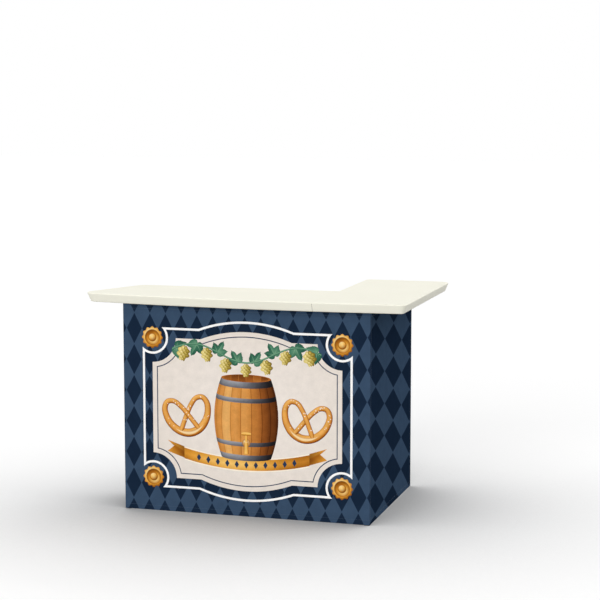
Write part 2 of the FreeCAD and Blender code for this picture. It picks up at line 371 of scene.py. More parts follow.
class Nodes:
    """Short calls that add shader nodes to a tree."""

    def __init__(self, tree):
        self.tree = tree

    def join(self, value, socket):
        if isinstance(value, bpy.types.NodeSocket):
            self.tree.links.new(value, socket)
        else:
            socket.default_value = value

    def add(self, kind, inputs, **settings):
        node = self.tree.nodes.new("ShaderNode" + kind)
        for name, value in settings.items():
            setattr(node, name, value)
        for socket, value in inputs.items():
            self.join(value, node.inputs[socket])
        return node

    def place(self):
        """Place on the object, in metres."""
        return self.add("TexCoord", {}).outputs["Object"]

    def map(self, name):
        """Place on a named flat map of the cloth."""
        return self.add("UVMap", {}, uv_map=name).outputs["UV"]

    def stretch(self, place, factors):
        return self.add("VectorMath", {0: place, 1: factors}, operation="MULTIPLY").outputs[0]

    def noise(self, scale=1.0, detail=3.0, place=None):
        """Noise over a given place, or else over the object."""
        inputs = {"Vector": place or self.place(), "Scale": scale, "Detail": detail}
        return self.add("TexNoise", inputs).outputs[0]

    def math(self, operation, first, second=0.0):
        return self.add("Math", {0: first, 1: second}, operation=operation).outputs[0]

    def span(self, value, low, high, start=0.0, end=1.0):
        """Value from start to end, mapped to low and high."""
        inputs = {"Value": value, "From Min": start, "From Max": end, "To Min": low, "To Max": high}
        return self.add("MapRange", inputs).outputs[0]

    def spread(self, noise, low, high):
        """Noise over its usual range, mapped to low and high."""
        return self.span(noise, low, high, *noise_range)

    def mix(self, factor, first, second, kind="MIX"):
        node = self.add("Mix", {0: factor, 6: first, 7: second}, data_type="RGBA", blend_type=kind)
        return node.outputs[2]

    def tones(self, factor, first, second):
        """Mix of two screen colours."""
        return self.mix(factor, solid(first), solid(second))

    def seen_directly(self):
        """1 for rays that show the background itself: from the camera, or by way of gloss or glass."""
        path = self.add("LightPath", {})
        seen = path.outputs["Is Camera Ray"]
        for kind in ("Is Glossy Ray", "Is Transmission Ray"):
            seen = self.math("MAXIMUM", seen, path.outputs[kind])
        return seen


class Finish(Nodes):
    """Material on a Principled shader, with the name of the function that dresses it."""

    def __init__(self, dress):
        self.material = bpy.data.materials.new(dress.__name__)
        self.material.use_nodes = True
        super().__init__(self.material.node_tree)
        self.surface = self.tree.nodes["Principled BSDF"]
        dress(self)

    def set(self, inputs):
        for socket, value in inputs.items():
            self.join(value, self.surface.inputs[socket])

    def colour(self, value):
        self.set({"Base Color": value})

    def rough(self, value):
        self.set({"Roughness": value})

    def bump(self, height, depth, strength):
        relief = self.add("Bump", {"Height": height, "Distance": depth, "Strength": strength})
        self.set({"Normal": relief.outputs[0]})


def counter_plastic(paint):
    """Cream moulding with a faint pebble grain, fine scuffs and some dirt in the joint along its edge."""
    paint.set({"Specular IOR Level": 0.25})
    place = paint.place()
    axes = paint.add("SeparateXYZ", {0: place})
    from_seam = paint.math("ABSOLUTE", paint.math("SUBTRACT", axes.outputs["X"], counter_seam))
    beside_seam = paint.span(from_seam, 1.0, 0.0, dirt_core, dirt_edge)
    below_top = paint.span(axes.outputs["Z"], 1.0, 0.0, counter_top - dirt_full, counter_top - dirt_end)
    dirt = paint.math("MULTIPLY", beside_seam, below_top)
    cream = paint.tones(paint.noise(scale=5.0), (245, 243, 227), (251, 249, 234))
    paint.colour(paint.mix(dirt, cream, solid((136, 134, 124))))
    scuffs = paint.noise(detail=4.0, place=paint.stretch(place, (9.0, 160.0, 9.0)))
    paint.rough(paint.spread(scuffs, 0.42, 0.62))
    paint.bump(paint.noise(scale=700.0, detail=2.0), depth=0.12 * MM, strength=0.6)


def shelf_plastic(paint):
    """Pale grained moulding of the shelves."""
    paint.set({"Specular IOR Level": 0.35})
    paint.colour(paint.tones(paint.noise(scale=8.0), (214, 211, 200), (226, 223, 213)))
    grain = paint.noise(scale=260.0, place=paint.stretch(paint.place(), (1.0, 6.0, 6.0)))
    paint.rough(paint.spread(grain, 0.45, 0.65))
    paint.bump(grain, depth=0.15 * MM, strength=0.6)


def frame_tube(paint):
    """Silver grey powder coat with its orange peel."""
    paint.set({"Metallic": 0.35})
    speckle = paint.noise(scale=1400.0, detail=1.0)
    paint.colour(paint.tones(speckle, (176, 178, 182), (204, 206, 209)))
    paint.rough(paint.spread(paint.noise(scale=30.0), 0.34, 0.5))
    paint.bump(paint.noise(scale=420.0, detail=2.0), depth=0.1 * MM, strength=0.5)


def bright_steel(paint):
    """Zinc plate with faint streaks."""
    paint.set({"Metallic": 1.0})
    streaks = paint.noise(place=paint.stretch(paint.place(), (40.0, 40.0, 900.0)))
    paint.colour(paint.tones(streaks, (188, 190, 192), (216, 215, 208)))
    paint.rough(paint.spread(streaks, 0.22, 0.42))
    paint.bump(streaks, depth=0.03 * MM, strength=0.4)


def plug_plastic(paint):
    """Black moulded plastic, dusty in the grain."""
    paint.set({"Specular IOR Level": 0.45})
    grain = paint.noise(scale=900.0, detail=2.0)
    paint.colour(paint.tones(grain, (22, 22, 24), (44, 44, 46)))
    paint.rough(paint.spread(grain, 0.45, 0.7))
    paint.bump(grain, depth=0.12 * MM, strength=0.7)


def dowel_wood(paint):
    """Beech with its flecks along the rod."""
    paint.set({"Roughness": 0.6})
    grain = paint.noise(detail=4.0, place=paint.stretch(paint.place(), (40.0, 700.0, 700.0)))
    paint.colour(paint.tones(grain, (190, 148, 104), (222, 186, 142)))
    paint.bump(grain, depth=0.1 * MM, strength=0.5)


def hook_tape(tape):
    """Woven tape with a fuzz of small hooks."""
    tape.set({"Roughness": 0.9, "Sheen Weight": 0.3})
    hooks = tape.noise(scale=1100.0, detail=1.0)
    tape.colour(tape.tones(hooks, (24, 28, 36), (58, 64, 74)))
    tape.bump(hooks, depth=0.5 * MM, strength=0.8)


def weave(cloth, strength):
    """Fine plain weave with uneven threads, on the cloth's own flat map."""
    flat = cloth.map("cloth")
    warp = cloth.noise(detail=1.0, place=cloth.stretch(flat, (thread_count, slub_count, 1.0)))
    weft = cloth.noise(detail=1.0, place=cloth.stretch(flat, (slub_count, thread_count, 1.0)))
    threads = cloth.math("ADD", warp, weft)
    cloth.bump(threads, 0.12 * MM, strength)
    cloth.rough(cloth.span(threads, 0.8, 0.95, start=0.7, end=1.3))
    return flat, threads


def lozenge_cloth(cloth):
    """Printed polyester in two blues."""
    cloth.set({"Specular IOR Level": 0.0})
    flat, threads = weave(cloth, 0.5)
    axes = cloth.add("SeparateXYZ", {0: cloth.map("lozenges")})
    across, up = (cloth.math("PINGPONG", axes.outputs[axis], 0.5) for axis in "XY")
    reach = cloth.math("ADD", across, up)
    pale = cloth.span(reach, 0.0, 1.0, lozenge_share - lozenge_blur, lozenge_share + lozenge_blur)
    dark_blue = cloth.tones(threads, (21, 35, 53), (25, 40, 60))
    pale_blue = cloth.tones(threads, (54, 73, 95), (58, 78, 102))
    wash = cloth.spread(cloth.noise(22.0, 5.0, flat), 0.93, 1.06)
    cloth.colour(cloth.mix(1.0, cloth.mix(pale, dark_blue, pale_blue), wash, "MULTIPLY"))


def printed_cloth(cloth):
    """The same cloth where it carries the picture, whose deeper colours run unevenly like a wash."""
    cloth.set({"Specular IOR Level": 0.0})
    flat, _ = weave(cloth, 0.5)
    ink = cloth.add("VertexColor", {}, layer_name="ink").outputs["Color"]
    broad = cloth.spread(cloth.noise(26.0, 5.0, flat), 0.86, 1.1)
    fine = cloth.spread(cloth.noise(150.0, 4.0, flat), 0.94, 1.06)
    wash = cloth.math("MULTIPLY", broad, fine)
    deep = cloth.span(cloth.add("RGBToBW", {0: ink}).outputs[0], 1.0, 0.35, start=0.2, end=0.7)
    cloth.colour(cloth.mix(deep, ink, wash, "MULTIPLY"))


def bare_cloth(cloth):
    """Unprinted inside of the cloth, with a little of the blue showing through."""
    cloth.set({"Specular IOR Level": 0.08})
    flat, threads = weave(cloth, 0.6)
    tint = cloth.tones(threads, (150, 160, 174), (176, 184, 195))
    cloud = cloth.spread(cloth.noise(14.0, 4.0, flat), 0.92, 1.05)
    cloth.colour(cloth.mix(1.0, tint, cloud, "MULTIPLY"))


def thread(yarn):
    """Twisted sewing thread."""
    yarn.set({"Roughness": 0.6, "Sheen Weight": 0.2})
    twist = yarn.noise(scale=2600.0, detail=1.0)
    yarn.colour(yarn.tones(twist, (40, 56, 78), (74, 96, 124)))
    yarn.bump(twist, depth=0.1 * MM, strength=0.5)


def floor_paint(paint):
    """White where it is seen but for its shadows, with painted shade that darkens its colour near the body."""
    paint.set({"Roughness": 1.0, "Specular IOR Level": 0.0, "Emission Color": (1, 1, 1, 1)})
    seen = paint.seen_directly()
    # Painted shade: the floor's colour goes darker where the body closes off the open air round it
    nearby = paint.add("AmbientOcclusion", {"Distance": contact_reach}).outputs["AO"]
    shade = paint.span(nearby, contact_shade, floor_seen, start=contact_open)
    paint.colour(paint.mix(seen, (floor_bounce, floor_bounce, floor_bounce, 1), shade))
    paint.set({"Emission Strength": paint.math("MULTIPLY", seen, floor_glow)})


finishes = {dress.__name__: Finish(dress).material for dress in (
    counter_plastic, shelf_plastic, frame_tube, bright_steel, plug_plastic, dowel_wood, hook_tape,
    lozenge_cloth, printed_cloth, bare_cloth, thread, floor_paint)}


def dress_solids():
    """Gives each solid that shows the finish of its slot."""
    for subpart in frame["record"]["subparts"]:
        finish = finishes.get(subpart["material_slot"])
        if finish:
            slots = nodes[subpart["node"]].data.materials
            slots.clear()
            slots.append(finish)


# Stage

def add_object(name, data):
    item = bpy.data.objects.new(name, data)
    bpy.context.scene.collection.objects.link(item)
    return item


def add_piece(name, points, faces, materials):
    mesh = bpy.data.meshes.new(name)
    mesh.from_pydata(points, [], faces)
    for material in materials:
        mesh.materials.append(finishes[material])
    return add_object(name, mesh)


def make_camera():
    data = bpy.data.cameras.new("camera")
    data.lens = camera_lens
    data.clip_end = camera_sight
    camera = add_object("camera", data)
    yaw = Matrix.Rotation(radians(camera_yaw), 4, "Z")
    pitch = Matrix.Rotation(radians(90 - camera_pitch), 4, "X")
    roll = Matrix.Rotation(radians(camera_roll), 4, "Z")
    camera.matrix_world = Matrix.Translation(camera_place) @ yaw @ pitch @ roll
    bpy.context.scene.camera = camera


def make_sky():
    """Even white light all round, plain white where it is seen."""
    world = bpy.data.worlds.new("sky")
    bpy.context.scene.world = world
    world.use_nodes = True
    sky = Nodes(world.node_tree)
    background = world.node_tree.nodes["Background"]
    background.inputs["Color"].default_value = (1, 1, 1, 1)
    sky.join(sky.span(sky.seen_directly(), sky_level, 1.0), background.inputs["Strength"])


def make_lamps():
    """Wide soft lamps: a low one that lights the front and a high one that shades the floor before it."""
    for name, (comes_from, strength, softness) in lamps.items():
        light = bpy.data.lights.new(name, "SUN")
        light.energy = strength
        light.angle = radians(softness)
        lamp = add_object(name, light)
        lamp.rotation_mode = "QUATERNION"
        lamp.rotation_quaternion = Vector(comes_from).to_track_quat("Z", "Y")


def make_floor():
    half = floor_size / 2
    corners = [(x * half, y * half, 0) for x, y in ((-1, -1), (1, -1), (1, 1), (-1, 1))]
    floor = add_piece("floor", corners, [(0, 1, 2, 3)], ("floor_paint",))


# Picture on the front of the skirt

class Ink:
    """Coloured triangles, painted one over another on a flat sheet."""

    def __init__(self):
        self.points = []
        self.shades = []
        self.faces = []

    def triangle(self, *corners):
        a, b, c = (self.points[corner] for corner in corners)
        area = (b - a).cross(c - a)
        if abs(area) > least_area:
            self.faces.append(corners if area > 0 else corners[::-1])

    def grid(self, rows, shades):
        """Cells between rows of points, with a colour at each point."""
        base, width = len(self.points), len(rows[0])
        for row, colours in zip(rows, shades):
            self.points.extend(Vector(point) for point in row)
            self.shades.extend(colours)
        for row in range(len(rows) - 1):
            for column in range(width - 1):
                corner = base + row * width + column
                self.triangle(corner, corner + 1, corner + width + 1)
                self.triangle(corner, corner + width + 1, corner + width)

    def band(self, first, second, shade):
        """Strip of one colour between two outlines."""
        self.grid([first, second], [[shade] * len(first)] * 2)

    def fan(self, middle, rim, inner, outer):
        """Closed shape round its middle, shaded from the middle to the rim."""
        self.grid([[middle] * len(rim), rim], [[inner] * len(rim), [outer] * len(rim)])

    def shade(self, face, point):
        """Colour of a point on one of the triangles."""
        a, b, c = (self.points[corner] for corner in face)
        whole = (b - a).cross(c - a)
        parts = ((b - point).cross(c - point) / whole, (c - point).cross(a - point) / whole)
        parts += (1 - sum(parts),)
        colours = [self.shades[corner] for corner in face]
        return [sum(part * colour[k] for part, colour in zip(parts, colours)) for k in range(3)]


def tone(stops, value):
    """Colour at a value from 0 to 1 along evenly spaced stops."""
    place = min(max(value, 0.0), 1.0) * (len(stops) - 1)
    index = min(int(place), len(stops) - 2)
    share = place - index
    return tuple(a + (b - a) * share for a, b in zip(stops[index], stops[index + 1]))


def ring(middle, half_across, half_up, count, start=0.0):
    """Points round an oval, closed at its start, which is given in radians."""
    x, z = middle
    angles = [start + 2 * pi * share for share in shares(count)]
    return [(x + half_across * cos(angle), z + half_up * sin(angle)) for angle in angles]


def smooth(points, count):
    """Points along a curve through the given ones, a count of them to each stretch."""
    points = [Vector(point) for point in points]
    ends = [2 * points[0] - points[1]] + points + [2 * points[-1] - points[-2]]
    line = []
    for before, start, end, after in zip(ends, ends[1:], ends[2:], ends[3:]):
        for t in shares(count)[:-1]:
            line.append(0.5 * (2 * start + (end - before) * t
                               + (2 * before - 5 * start + 4 * end - after) * t ** 2
                               + (3 * start - before - 3 * end + after) * t ** 3))
    return line + [points[-1]]


def sideways(line, index):
    """Way across a line at one of its points."""
    ahead = line[min(index + 1, len(line) - 1)] - line[max(index - 1, 0)]
    return Vector((-ahead.y, ahead.x)).normalized()


def strand(ink, line, widths, stops):
    """Round strand along a line, lit from the upper left and dark along its edges."""
    rows, shades = [], []
    for index, (point, width) in enumerate(zip(line, widths)):
        side = sideways(line, index)
        lit = strand_lit * side.dot(light_from)
        rows.append([point + side * width * v for v in strand_profile])
        shades.append([tone(stops, strand_edge + strand_round * sqrt(1 - v * v) + lit * v)
                       for v in strand_profile])
    ink.grid(rows, shades)


def label_outline(grow):
    """Label with hollow corners and a swell along the top and the bottom, grown by a margin."""
    notch = label_notch - grow
    run = sqrt(notch ** 2 - grow ** 2)
    tip = atan2(grow, run)
    swell = (label_swell_half ** 2 + label_swell ** 2) / (2 * label_swell)
    swell_z = label_half_height + label_swell - swell
    reach = acos((swell - label_swell + grow) / (swell + grow))
    corner = []
    for share in shares(swell_steps):
        angle = reach * share
        corner.append(((swell + grow) * sin(angle), swell_z + (swell + grow) * cos(angle)))
    for share in shares(notch_steps):
        angle = pi - tip + (pi / 2 + 2 * tip) * share
        x = label_half_width + notch * cos(angle)
        corner.append((x, label_half_height + notch * sin(angle)))
    corner.append((label_half_width + grow, 0.0))
    right = corner + [(x, -z) for x, z in reversed(corner[:-1])]
    return right + [(-x, z) for x, z in reversed(right)][1:]


def draw_label(ink):
    """Cream label with a white line round it and a thin blue one inside."""
    ink.band(*(label_outline(margin) for margin in white_line), white)
    ink.fan((0, 0), label_outline(0), label_middle, label_edge)
    ink.band(*(label_outline(margin) for margin in blue_line), navy)


def cask_point(angle, share):
    """Point on the cask, at a turn from its front and a share of its height."""
    radius = cask_waist - (cask_waist - cask_end) * (2 * share - 1) ** 2
    drop = cask_tilt * radius * cos(angle)
    return (radius * sin(angle), cask_foot + share * cask_height - drop)


def draw_cask(ink, draws):
    """Upright cask: staves shaded round its belly, iron hoops and a boarded head."""
    stave = pi / cask_staves
    profile = ((0, stave_gap_shade), (stave_gap, 0), (stave / 2, -stave_crown),
               (stave - stave_gap, 0), (stave, stave_gap_shade))
    angles, weights = [], []
    for index in range(cask_staves):
        weight = draws.uniform(-stave_change, stave_change)
        for offset, dark in profile:
            angles.append(index * stave - pi / 2 + offset)
            weights.append(weight - dark)
    lights = [cask_shade + cask_shine * max(0.0, cos(angle + cask_turn)) ** cask_fade for angle in angles]
    breaks = sorted({edge for hoop in cask_hoops for edge in hoop} | set(shares(cask_rows)))
    rows, shades = [], []
    for low, high in zip(breaks, breaks[1:]):
        hooped = any(start <= (low + high) / 2 <= end for start, end in cask_hoops)
        for share, shine in ((low, hoop_shine), (high, hoop_shine + hoop_edge_shine)):
            rows.append([cask_point(angle, share) for angle in angles])
            if hooped:
                shades.append([tone(iron, light * shine - hoop_shade) for light in lights])
            else:
                shades.append([tone(oak, light + weight) for light, weight in zip(lights, weights)])
    ink.grid(rows, shades)
    draw_head(ink, draws)


def draw_head(ink, draws):
    """Boarded head of the cask, seen from above."""
    head_z = cask_foot + cask_height
    rim = ring((0, head_z), cask_end, cask_tilt * cask_end, head_points)
    ink.fan((0, head_z), rim, oak[3], oak[2])
    inner = cask_end * head_share
    for board in range(head_boards):
        left, right = (inner * (2 * (board + part) / head_boards - 1) for part in (board_gap, 1 - board_gap))
        columns = [left + (right - left) * share for share in shares(board_steps)]
        depths = [cask_tilt * sqrt(max(inner ** 2 - x ** 2, 0)) for x in columns]
        weight = draws.uniform(*board_tones)
        ink.grid([[(x, head_z + way * depth) for x, depth in zip(columns, depths)] for way in (-1, 1)],
                 [[tone(oak, weight + lift)] * len(columns) for lift in board_lifts])


def draw_tap(ink):
    """Brass tap low on the cask."""
    middle = Vector((0, cask_foot + tap_height))
    glint = middle + Vector((-tap_glint, tap_glint))
    ink.fan(glint, ring(middle, tap_flange, tap_flange, flange_points), gold[4], gold[1])
    for points, widths in tap_strands.values():
        strand(ink, smooth([middle + Vector(point) for point in points], tap_steps), widths, gold)


def draw_pretzel(ink, middle, turn, draws):
    """Baked pretzel: belly and loops first, then the two crossed arms, a split and salt."""
    spin = Matrix.Rotation(radians(turn), 2)
    points = [*pretzel_half, pretzel_belly, *((-x, z) for x, z in reversed(pretzel_half))]
    line = [Vector(middle) + pretzel_size * (spin @ point) for point in smooth(points, pretzel_steps)]
    last = len(line) - 1
    widths = []
    for index, share in enumerate(shares(last)):
        swell = pretzel_swell * exp(-((share - 0.5) / swell_reach) ** 2)
        from_end = min(index, last - index, pretzel_round) / pretzel_round
        rounding = sqrt(1 - (1 - from_end) ** 2)
        widths.append(pretzel_size * (pretzel_thin + swell) * rounding + pretzel_tip)
    arm = arm_points * pretzel_steps
    for first, end in ((arm - arm_tuck, last - arm + arm_tuck), (0, arm + 1), (last - arm - 1, last)):
        strand(ink, line[first:end + 1], widths[first:end + 1], crust)
    draw_split(ink, line, widths)
    draw_salt(ink, line, widths, draws)


def draw_split(ink, line, widths):
    """Pale split along the belly of a pretzel."""
    first = len(line) // 2 - split_half
    rows = []
    for index, share in enumerate(shares(2 * split_half), first):
        gape = sideways(line, index) * widths[index] * split_share * sin(pi * share)
        rows.append([line[index] + gape * way for way in (-1, 0, 1)])
    ink.grid(rows, [split_tones] * len(rows))


def draw_salt(ink, line, widths, draws):
    """Grains of salt along a pretzel, none on its split."""
    last = len(line) - 1
    for _ in range(salt_grains):
        index = draws.randrange(salt_from_end, last - salt_from_end)
        if abs(index - last / 2) < salt_from_split:
            continue
        offset = Vector([draws.uniform(-salt_spread, salt_spread) for _ in range(2)])
        spot = line[index] + offset * widths[index]
        reach = draws.uniform(*salt_reach)
        turn = draws.uniform(0, pi)
        ink.fan(spot, ring(spot, reach, reach, salt_corners, turn), white, salt_edge)


def draw_leaf(ink, base, length, turn):
    """Three-lobed hop leaf with pale veins; turn is the way it points, from straight down."""
    spin = Matrix.Rotation(radians(turn), 2)
    base = Vector(base)

    def at(angle, radius):
        away = radians(angle)
        return base + spin @ Vector((sin(away), -cos(away))) * radius * length

    for side, lift in leaf_lifts.items():
        rim = []
        for (angle, radius), (next_angle, next_radius) in zip(leaf_half, leaf_half[1:]):
            rim.append(at(side * angle, radius))
            rim.append(at(side * (angle + next_angle) / 2, (radius + next_radius) / 2 * leaf_bite))
        rim.append(at(side * leaf_half[-1][0], leaf_half[-1][1]))
        ink.fan(base, rim, *(tone(leaf_green, level + lift) for level in leaf_tones))
    for angle, radius in leaf_veins:
        tip, across = at(angle, radius), at(angle + 90, vein_half)
        ink.grid([[across, 2 * base - across], [tip, tip]],
                 [[tone(leaf_green, level)] * 2 for level in vein_tones])


def draw_hop(ink, top, length, turn):
    """Hanging hop cone of overlapping scales."""
    spin = Matrix.Rotation(radians(turn), 2)
    top = Vector(top)
    for level in reversed(range(hop_levels)):
        share = level / (hop_levels - 1)
        half = length * hop_half * sin(pi * (hop_first + hop_span * share)) ** hop_blunt
        count, pitch = hop_rows[level % 2]
        for place in sorted((index - (count - 1) / 2 for index in range(count)), key=lambda x: -abs(x)):
            across = place * half * pitch
            root = Vector((across * hop_root, -length * (hop_top + hop_fall * share)))
            long, wide = length * scale_length, half * scale_half
            rim = []
            for u, v in scale_outline:
                rim.append(top + spin @ (root + Vector((u * wide + across / length * v * long, -v * long))))
            core = top + spin @ (root + Vector((0, -scale_core * long)))
            bright = hop_tone - hop_lit * across / max(half, 1)
            ink.fan(core, rim, *(tone(hop_gold, bright + lift) for lift in hop_lifts))


def vine_height(x):
    return vine_z - vine_sway * cos(2 * pi * x / vine_wave)


def draw_garland(ink):
    """Hop vine across the top of the label."""
    line = smooth([(x, vine_height(x)) for x in range(-vine_half, vine_half + 1, vine_pitch)], vine_steps)
    for x, turn, length in vine_leaves:
        for side in (1, -1):
            draw_leaf(ink, (side * x, vine_height(x)), length, side * turn)
    strand(ink, line, [vine_radius] * len(line), leaf_green)
    for x, drop, turn, length in vine_hops:
        for side in (1, -1) if x else (1,):
            draw_hop(ink, (side * x, vine_height(x) - drop), length, side * turn)


def ribbon_curve(x):
    return ribbon_z + ribbon_rise * (x / ribbon_half) ** 2


def draw_ribbon(ink):
    """Plain ribbon under the cask, its ends folded back, with a row of small lozenges."""
    end_z = ribbon_curve(ribbon_half)
    for side in (-1, 1):
        ink.grid([[(side * (ribbon_half + x), end_z + z) for x, z in row] for row in tail_rows], tail_tones)
    columns = [ribbon_half * (2 * share - 1) for share in shares(ribbon_steps)]
    upper_trim = ribbon_height - ribbon_trim
    levels = (0.0, ribbon_trim, ribbon_trim, ribbon_height / 2, upper_trim, upper_trim, ribbon_height)
    rows = [[(x, ribbon_curve(x) - ribbon_height / 2 + level) for x in columns] for level in levels]
    waves = [ribbon_sway * cos(x / ribbon_half * ribbon_wave + ribbon_start) for x in columns]
    trims = [[ribbon_edge] * len(columns)] * 2
    bands = [[tone(gold, ribbon_tone + wave + lift) for wave in waves] for lift in ribbon_lifts]
    ink.grid(rows, trims + bands + trims)
    for index in range(-ribbon_lozenges, ribbon_lozenges + 1):
        x = index * ribbon_pitch
        middle = (x, ribbon_curve(x))
        ink.fan(middle, ring(middle, *ribbon_lozenge, 4), navy, navy)


def draw_button(ink, middle):
    """Gold button with a scalloped rim, a dished face and a domed middle."""
    angles = [2 * pi * share for share in shares(button_points)]
    rows, shades = [], []
    for share, scallop, level, lean in button_rings:
        row, tones = [], []
        for angle in angles:
            outward = Vector((cos(angle), sin(angle)))
            reach = button_radius * share * (1 + scallop * cos(button_lobes * angle))
            row.append(Vector(middle) + outward * reach)
            tones.append(tone(gold, level + lean * outward.dot(light_from)))
        rows.append(row)
        shades.append(tones)
    ink.grid(rows, shades)


def draw_picture():
    """Generic tavern label: cask, pretzels, hop garland, ribbon and corner buttons."""
    ink = Ink()
    draws = random.Random(print_seed)
    draw_label(ink)
    draw_ribbon(ink)
    draw_cask(ink, draws)
    draw_tap(ink)
    for side in (-1, 1):
        draw_pretzel(ink, (side * pretzel_x, pretzel_z), -side * pretzel_turn, draws)
    draw_garland(ink)
    for x in (-label_half_width, label_half_width):
        for z in (-label_half_height, label_half_height):
            draw_button(ink, (x, z))
    ink.points = [point * print_scale for point in ink.points]
    return ink


# Skirt

def wrap_point(run):
    """Outer face of the cloth at a run round it from the middle of the front, and the way it faces there."""
    side = copysign(1, run)
    angle = min(max((abs(run) - half_front) / outer_radius, 0.0), pi / 2)
    past = max(abs(run) - half_front - arc_run, 0.0)
    x = min(abs(run), half_front) + outer_radius * sin(angle)
    y = corner_radius - outer_radius * cos(angle) + past
    outward = Vector((side * sin(angle), -cos(angle), 0))
    return Vector((middle_x + side * x, front_y + y, 0)), outward


def run_at(y):
    """Run round the cloth to a depth on its side."""
    return half_front + arc_run + y - front_y - corner_radius


def ripple(run, z):
    """Slight waves of the stretched cloth, none at its corners, hem and top."""
    share = sin(pi * (z - hem_z) / (top_z - hem_z))
    from_corner = min(abs(abs(run) - half_front) / ripple_length, 1.0)
    return ripple_depth * share * from_corner * sin(2 * pi * run / ripple_length)


def cloth_point(run, z, lift=0.0):
    """Point of the cloth, lifted off its outer face, and the way it faces."""
    place, outward = wrap_point(run)
    return place + Vector((0, 0, z)) + outward * (lift - ripple_depth + ripple(run, z)), outward


def lozenge_place(run, z):
    """Place on the lozenge map, where each lozenge has its middle at whole numbers.

    The columns spread a little to the floor.
    The right side has wider lozenges, in rows that spread to the back.
    """
    past = max(run - half_front - arc_run, 0.0)
    from_right = (half_width - run + past) / (1 + column_spread * (top_z - z))
    across = (2 * half_width - from_right - first_lozenge) / lozenge_width + past / side_lozenge_width
    level = row_fan_height - (row_fan_height - z) / (1 + row_fan_rate * past)
    return across, (level - first_row) / lozenge_height


def rim_edges(faces):
    """Edges that only one face has, in that face's order."""
    edges = {(a, b) for face in faces for a, b in zip(face, face[1:] + face[:1])}
    return [(a, b) for a, b in edges if (b, a) not in edges]


def lay_maps(mesh, spots):
    """Flat maps of the cloth and of its lozenges, from each point's run and height."""
    for name, place in (("cloth", lambda run, z: (run, z)), ("lozenges", lozenge_place)):
        flat = [place(run, z) for run, z in spots]
        layer = mesh.uv_layers.new(name=name)
        layer.data.foreach_set("uv", [value for loop in mesh.loops for value in flat[loop.vertex_index]])


def lay_inks(mesh, inks):
    """Colours of the print at the corners of the outer faces."""
    layer = mesh.color_attributes.new("ink", "FLOAT_COLOR", "CORNER")
    for polygon, colours in zip(mesh.polygons, inks):
        for loop, colour in zip(polygon.loop_indices, colours):
            layer.data[loop].color = (*colour, 1.0)


def turn_outward(mesh, facing, rim_start):
    """Shades both sides of the cloth smoothly, whatever their triangles, and its rim as flat faces."""
    mesh.set_sharp_from_angle(angle=radians(cloth_crease))
    normals = []
    for polygon in mesh.polygons:
        if polygon.index < rim_start:
            normals += [facing[corner] for corner in polygon.vertices]
        else:
            normals += [polygon.normal.copy()] * len(polygon.vertices)
    mesh.normals_split_custom_set(normals)


def make_cloth(name, spots, faces, lift, thickness, materials, picks=None, inks=None):
    """Cloth of a given thickness over spots given as run and height, faces seen from outside."""
    outer, inner, facing = [], [], []
    for run, z in spots:
        point, outward = cloth_point(run, z, lift)
        outer.append(point)
        inner.append(point - outward * thickness)
        facing.append(outward)
    count = len(spots)
    back = [tuple(count + corner for corner in reversed(face)) for face in faces]
    rim = sorted((b, a, count + a, count + b) for a, b in rim_edges(faces))
    piece = add_piece(name, outer + inner, faces + back + rim, materials)
    bare = len(materials) - 1
    picked = (picks or [0] * len(faces)) + [bare] * len(back) + [0] * len(rim)
    piece.data.polygons.foreach_set("material_index", picked)
    piece.data.polygons.foreach_set("use_smooth", [True] * len(picked))
    lay_maps(piece.data, spots * 2)
    if inks:
        lay_inks(piece.data, inks)
    turn_outward(piece.data, facing + [-way for way in facing], len(faces + back))
    return piece


def corner_runs():
    """Runs where the cloth turns the two front corners."""
    bend = [half_front + arc_run * share for share in shares(corner_steps)]
    return [-run for run in reversed(bend)] + bend


def front_cloth():
    """Front cloth round both corners, cut along every outline of the picture so that it is printed on it."""
    ink = draw_picture()
    low, high = (hem_z - print_z) / MM, (top_z - print_z) / MM
    left, right = (-half_run - print_run) / MM, (half_run - print_run) / MM
    points = [Vector(point) for point in ((left, low), (right, low), (right, high), (left, high))]
    edges = []
    for run in corner_runs():
        x = (run - print_run) / MM
        edges.append((len(points), len(points) + 1))
        points += [Vector((x, low)), Vector((x, high))]
    for x in steps(left, right, front_pitch)[1:-1]:
        points += [Vector((x, z)) for z in steps(low, high, front_pitch)[1:-1]]
    base = len(points)
    shapes = [(0, 1, 2, 3)] + [tuple(base + corner for corner in face) for face in ink.faces]
    inside_only = 1
    made = delaunay_2d_cdt(points + ink.points, edges, shapes, inside_only, merge_reach, True)
    places, faces, sources = made[0], [tuple(face) for face in made[2]], made[5]
    tops = [max(source) for source in sources]
    blank = [(0.0, 0.0, 0.0)] * 3
    inks = [[ink.shade(ink.faces[top - 1], places[corner]) for corner in face] if top else blank
            for top, face in zip(tops, faces)]
    spots = [(print_run + place.x * MM, print_z + place.y * MM) for place in places]
    return make_cloth("skirt_front_cloth", spots, faces, 0.0, cloth_thickness,
                      ("lozenge_cloth", "printed_cloth", "bare_cloth"), [min(top, 1) for top in tops], inks)


def strip_runs(start, end):
    """Runs across a strip of cloth, closer together where it turns a corner or crosses a hinge."""
    runs = set(steps(start, end, strip_pitch))
    close_runs = corner_runs()
    for joint in ("right_fold", "left_fold"):
        hinge = copysign(run_at(joints[joint]["pos_m"][1]), joints[joint]["pos_m"][0])
        close_runs += steps(hinge - bend_reach, hinge + bend_reach, bend_pitch)
    runs.update(run for run in close_runs if start < run < end)
    return sorted(runs)


def strip(name, runs, heights, lift, thickness, materials):
    """Strip of cloth over a grid of runs and heights."""
    spots = [(run, z) for z in heights for run in runs]
    width = len(runs)
    faces = [(i + j * width, i + 1 + j * width, i + 1 + (j + 1) * width, i + (j + 1) * width)
             for j in range(len(heights) - 1) for i in range(width - 1)]
    return make_cloth(name, spots, faces, lift, thickness, materials)


